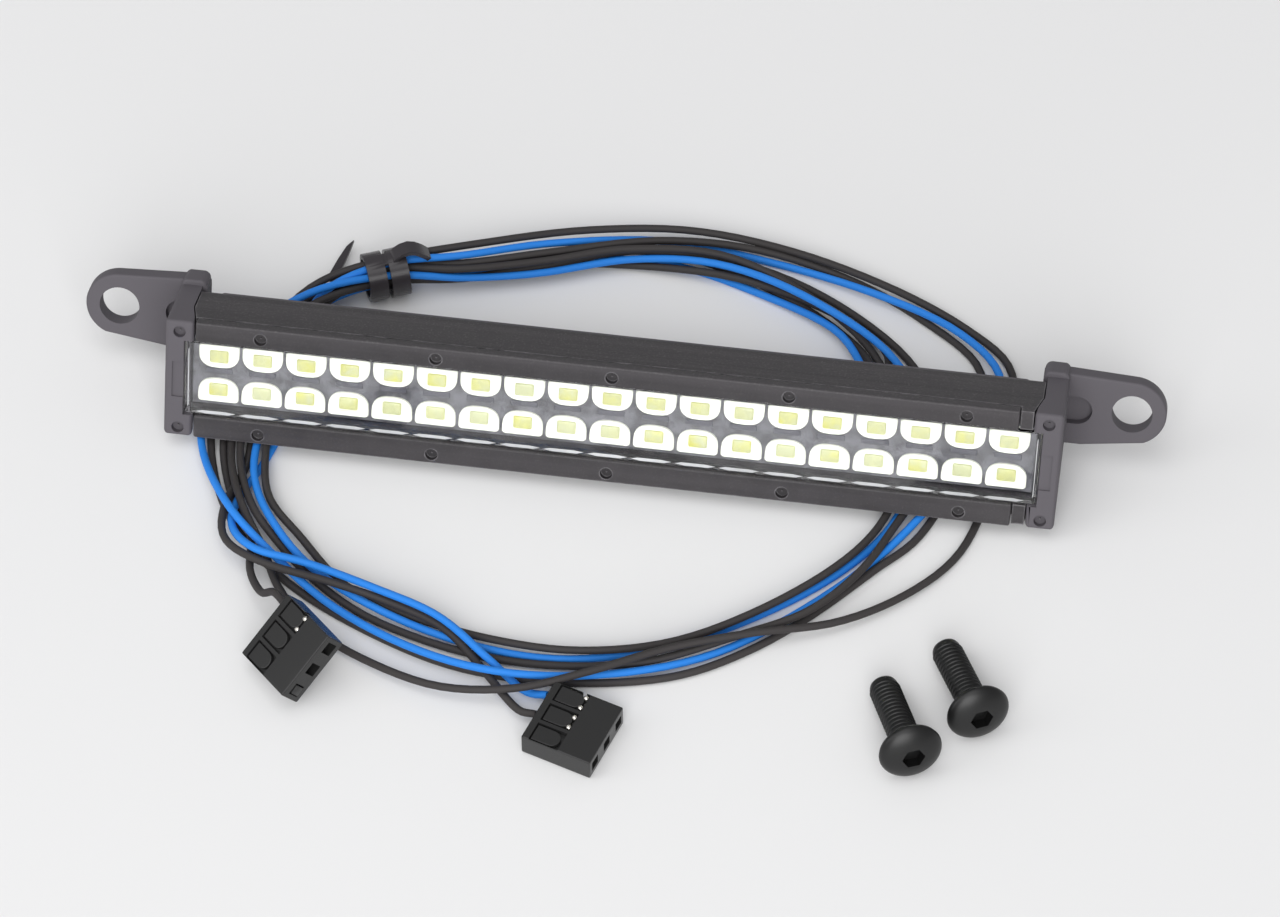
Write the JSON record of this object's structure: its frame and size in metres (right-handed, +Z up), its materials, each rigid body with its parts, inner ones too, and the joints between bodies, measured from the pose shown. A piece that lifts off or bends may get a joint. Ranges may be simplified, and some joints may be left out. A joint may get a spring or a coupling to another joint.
{
  "type": "led light bar",
  "caption": "Slim LED light bar with two rows of LEDs behind a clear lens, mounting ears on both end caps, a tied coil of thin leads with socket housings, and loose button-head screws.",
  "frame": {"origin": "bottom centre of the bounding box of the bar and its two screws, on the surface that everything lies on", "axes": "+X along the bar to the right as its lens is seen, +Y from the lens side to the back, +Z up"},
  "size_m": [0.1086, 0.0684, 0.0133],
  "materials": {
    "charcoal_plastic": "moulded charcoal plastic, satin",
    "clear_plastic": "clear moulded lens, glossy",
    "led_ceramic": "white package with a pale yellow phosphor face",
    "board_mask": "grey solder mask",
    "black_insulation": "black lead insulation, soft sheen",
    "blue_insulation": "blue lead insulation, soft sheen",
    "socket_plastic": "black moulded socket housing",
    "contact_metal": "tinned crimp contact",
    "tie_plastic": "black tie, slight sheen",
    "black_oxide": "black oxide steel"
  },
  "bodies": {
    "light_bar": {"housing": "charcoal_plastic", "top_strip": "charcoal_plastic", "bottom_strip": "charcoal_plastic", "left_end_cap": "charcoal_plastic", "right_end_cap": "charcoal_plastic", "rear_cover": "charcoal_plastic", "lens": "clear_plastic", "led_board": "board_mask", "outlet_gland": "black_insulation", "blue_lead": "blue_insulation", "black_lead_1": "black_insulation", "black_lead_2": "black_insulation", "socket_1": "socket_plastic", "socket_2": "socket_plastic", "contact_black_1": "contact_metal", "contact_black_2": "contact_metal", "contact_blue": "contact_metal", "blanking_plug": "socket_plastic", "cable_tie": "tie_plastic", "led_top_01": "led_ceramic", "led_top_02": "led_ceramic", "led_top_03": "led_ceramic", "led_top_04": "led_ceramic", "led_top_05": "led_ceramic", "led_top_06": "led_ceramic", "led_top_07": "led_ceramic", "led_top_08": "led_ceramic", "led_top_09": "led_ceramic", "led_top_10": "led_ceramic", "led_top_11": "led_ceramic", "led_top_12": "led_ceramic", "led_top_13": "led_ceramic", "led_top_14": "led_ceramic", "led_top_15": "led_ceramic", "led_top_16": "led_ceramic", "led_top_17": "led_ceramic", "led_top_18": "led_ceramic", "led_top_19": "led_ceramic", "led_bottom_01": "led_ceramic", "led_bottom_02": "led_ceramic", "led_bottom_03": "led_ceramic", "led_bottom_04": "led_ceramic", "led_bottom_05": "led_ceramic", "led_bottom_06": "led_ceramic", "led_bottom_07": "led_ceramic", "led_bottom_08": "led_ceramic", "led_bottom_09": "led_ceramic", "led_bottom_10": "led_ceramic", "led_bottom_11": "led_ceramic", "led_bottom_12": "led_ceramic", "led_bottom_13": "led_ceramic", "led_bottom_14": "led_ceramic", "led_bottom_15": "led_ceramic", "led_bottom_16": "led_ceramic", "led_bottom_17": "led_ceramic", "led_bottom_18": "led_ceramic", "led_bottom_19": "led_ceramic"},
    "screw_left": {"screw_left": "black_oxide"},
    "screw_right": {"screw_right": "black_oxide"}
  },
  "joints": [
    {"name": "screw_left_lift", "type": "slide", "parent": "light_bar", "child": "screw_left", "axis": [0, 0, 1], "range_m": [0, 0.03]},
    {"name": "screw_right_lift", "type": "slide", "parent": "light_bar", "child": "screw_right", "axis": [0, 0, 1], "range_m": [0, 0.03]}
  ]
}
